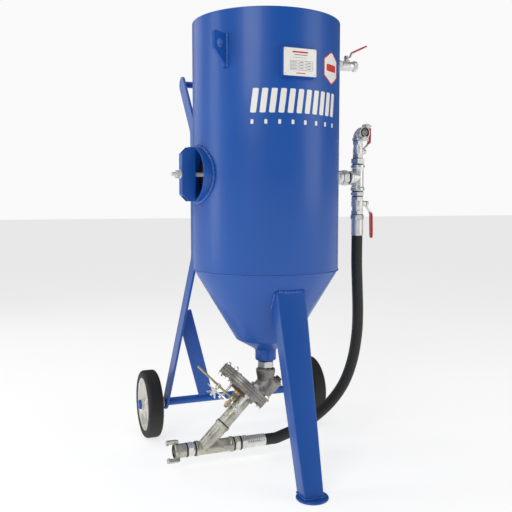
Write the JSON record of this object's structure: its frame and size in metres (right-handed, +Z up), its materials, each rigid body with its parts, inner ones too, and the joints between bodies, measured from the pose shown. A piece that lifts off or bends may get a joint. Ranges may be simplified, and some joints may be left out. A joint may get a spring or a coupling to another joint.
{
  "type": "abrasive blasting pressure pot",
  "caption": "Tall blue blasting pot with a conical bottom, slanted grit metering valve, blast outlet, air hose, hatch and ball valves, on a wheeled trolley with a front leg.",
  "frame": {"origin": "middle of the footprint box on the floor; the vessel axis stands 18.7 mm to the left and 32 mm to the front of it", "axes": "+X to the right of the trolley, where the air inlet is; +Y to the wheels and handle; +Z up"},
  "size_m": [0.7235, 0.826, 1.351],
  "materials": {
    "tank_blue": "gloss blue paint over welded steel",
    "zinc": "galvanised malleable iron and zinc-plated steel",
    "casting": "bare sand-cast iron, machined on the flange edges",
    "brass": "yellow-passivated steel rod",
    "rubber": "matt black rubber",
    "tyre": "solid black rubber tyre",
    "red_grip": "red dipped lever sleeve",
    "label": null,
    "hose": "fabric-marked black air hose"
  },
  "bodies": {
    "frame": {"air_coupling": "zinc", "air_hose": "hose", "air_nipple": "zinc", "air_standpipe": "zinc", "axle_shaft": "tank_blue", "axle_tube": "tank_blue", "blast_coupling": "zinc", "blast_lateral": "zinc", "blast_nipple": "zinc", "bottom_cone": "tank_blue", "brace_bar": "tank_blue", "cleanout_plug": "casting", "filling_head": "tank_blue", "filling_seat": "rubber", "front_leg": "tank_blue", "handle_tube": "tank_blue", "hatch_neck": "tank_blue", "hose_fitting_lower": "zinc", "hose_fitting_upper": "zinc", "inlet_elbow": "zinc", "inlet_nipple": "zinc", "inlet_tee": "zinc", "lever_quadrant": "zinc", "lifting_lug_left": "tank_blue", "lifting_lug_right": "tank_blue", "lower_flange": "casting", "lower_nipple": "zinc", "lower_valve_body": "zinc", "nameplate": "label", "nameplate_holder": "tank_blue", "outlet_nipple": "zinc", "outlet_pipe": "zinc", "side_bar_left": "tank_blue", "side_bar_right": "tank_blue", "spacer_ring": "casting", "spindle_spring": "zinc", "tank_shell": "tank_blue", "upper_bush": "zinc", "upper_casting": "casting", "upper_valve_body": "zinc", "vent_nipple": "zinc", "vent_valve_body": "zinc"},
    "wheel_left": {"tyre_left": "tyre", "wheel_centre_left": "zinc"},
    "wheel_right": {"tyre_right": "tyre", "wheel_centre_right": "zinc"},
    "hatch_cover": {"hatch_cover": "casting", "hatch_gasket": "rubber"},
    "hatch_yoke": {"hatch_yoke": "tank_blue"},
    "hatch_nut": {"hatch_nut": "zinc"},
    "popup_valve": {"popup_valve": "rubber"},
    "vent_handle": {"vent_ball_stem": "zinc", "vent_lever": "red_grip"},
    "upper_handle": {"upper_ball_stem": "zinc", "upper_lever": "red_grip"},
    "lower_handle": {"lower_ball_stem": "zinc", "lower_lever": "red_grip"},
    "metering": {"metering_disc": "casting", "metering_lever": "brass"},
    "wing_nut": {"wing_nut": "zinc"}
  },
  "joints": [
    {"name": "left_wheel_spin", "type": "hinge", "parent": "frame", "child": "wheel_left", "pos_m": [-0.3217, 0.297, 0.116], "axis": [1, 0, 0], "continuous": true},
    {"name": "right_wheel_spin", "type": "hinge", "parent": "frame", "child": "wheel_right", "pos_m": [0.2843, 0.297, 0.116], "axis": [1, 0, 0], "continuous": true},
    {"name": "hatch_nut_turn", "type": "hinge", "parent": "frame", "child": "hatch_nut", "pos_m": [-0.30711, -0.06231, 0.897], "axis": [-0.9945, -0.1045, 0], "range_deg": [0, 1080]},
    {"name": "hatch_cover_push", "type": "slide", "parent": "frame", "child": "hatch_cover", "axis": [0.9945, 0.1045, 0], "range_m": [0, 0.0052]},
    {"name": "hatch_yoke_swivel", "type": "hinge", "parent": "frame", "child": "hatch_yoke", "pos_m": [-0.27728, -0.05918, 0.897], "axis": [0.9945, 0.1045, 0], "range_deg": [-90, 90]},
    {"name": "popup_valve_lift", "type": "slide", "parent": "frame", "child": "popup_valve", "axis": [0, 0, 1], "range_m": [0, 0.029]},
    {"name": "vent_handle_turn", "type": "hinge", "parent": "frame", "child": "vent_handle", "pos_m": [0.2596, -0.032, 1.251], "axis": [0, 0, 1], "range_deg": [0, 90]},
    {"name": "upper_handle_turn", "type": "hinge", "parent": "frame", "child": "upper_handle", "pos_m": [0.3053, -0.032, 0.9792], "axis": [1, 0, 0], "range_deg": [-90, 0]},
    {"name": "lower_handle_turn", "type": "hinge", "parent": "frame", "child": "lower_handle", "pos_m": [0.3053, -0.032, 0.811], "axis": [1, 0, 0], "range_deg": [0, 90]},
    {"name": "metering_lever_turn", "type": "hinge", "parent": "frame", "child": "metering", "pos_m": [-0.0925, -0.032, 0.2422], "axis": [0.7071, 0, 0.7071], "range_deg": [-40, 50]},
    {"name": "wing_nut_spin", "type": "hinge", "parent": "metering", "child": "wing_nut", "pos_m": [-0.19822, -0.05089, 0.2362], "axis": [0.7071, 0, 0.7071], "continuous": true}
  ],
  "couplings": [
    {"joint": "hatch_nut_turn", "follows": "hatch_cover_push", "rad_per_m": 3590.4}
  ]
}
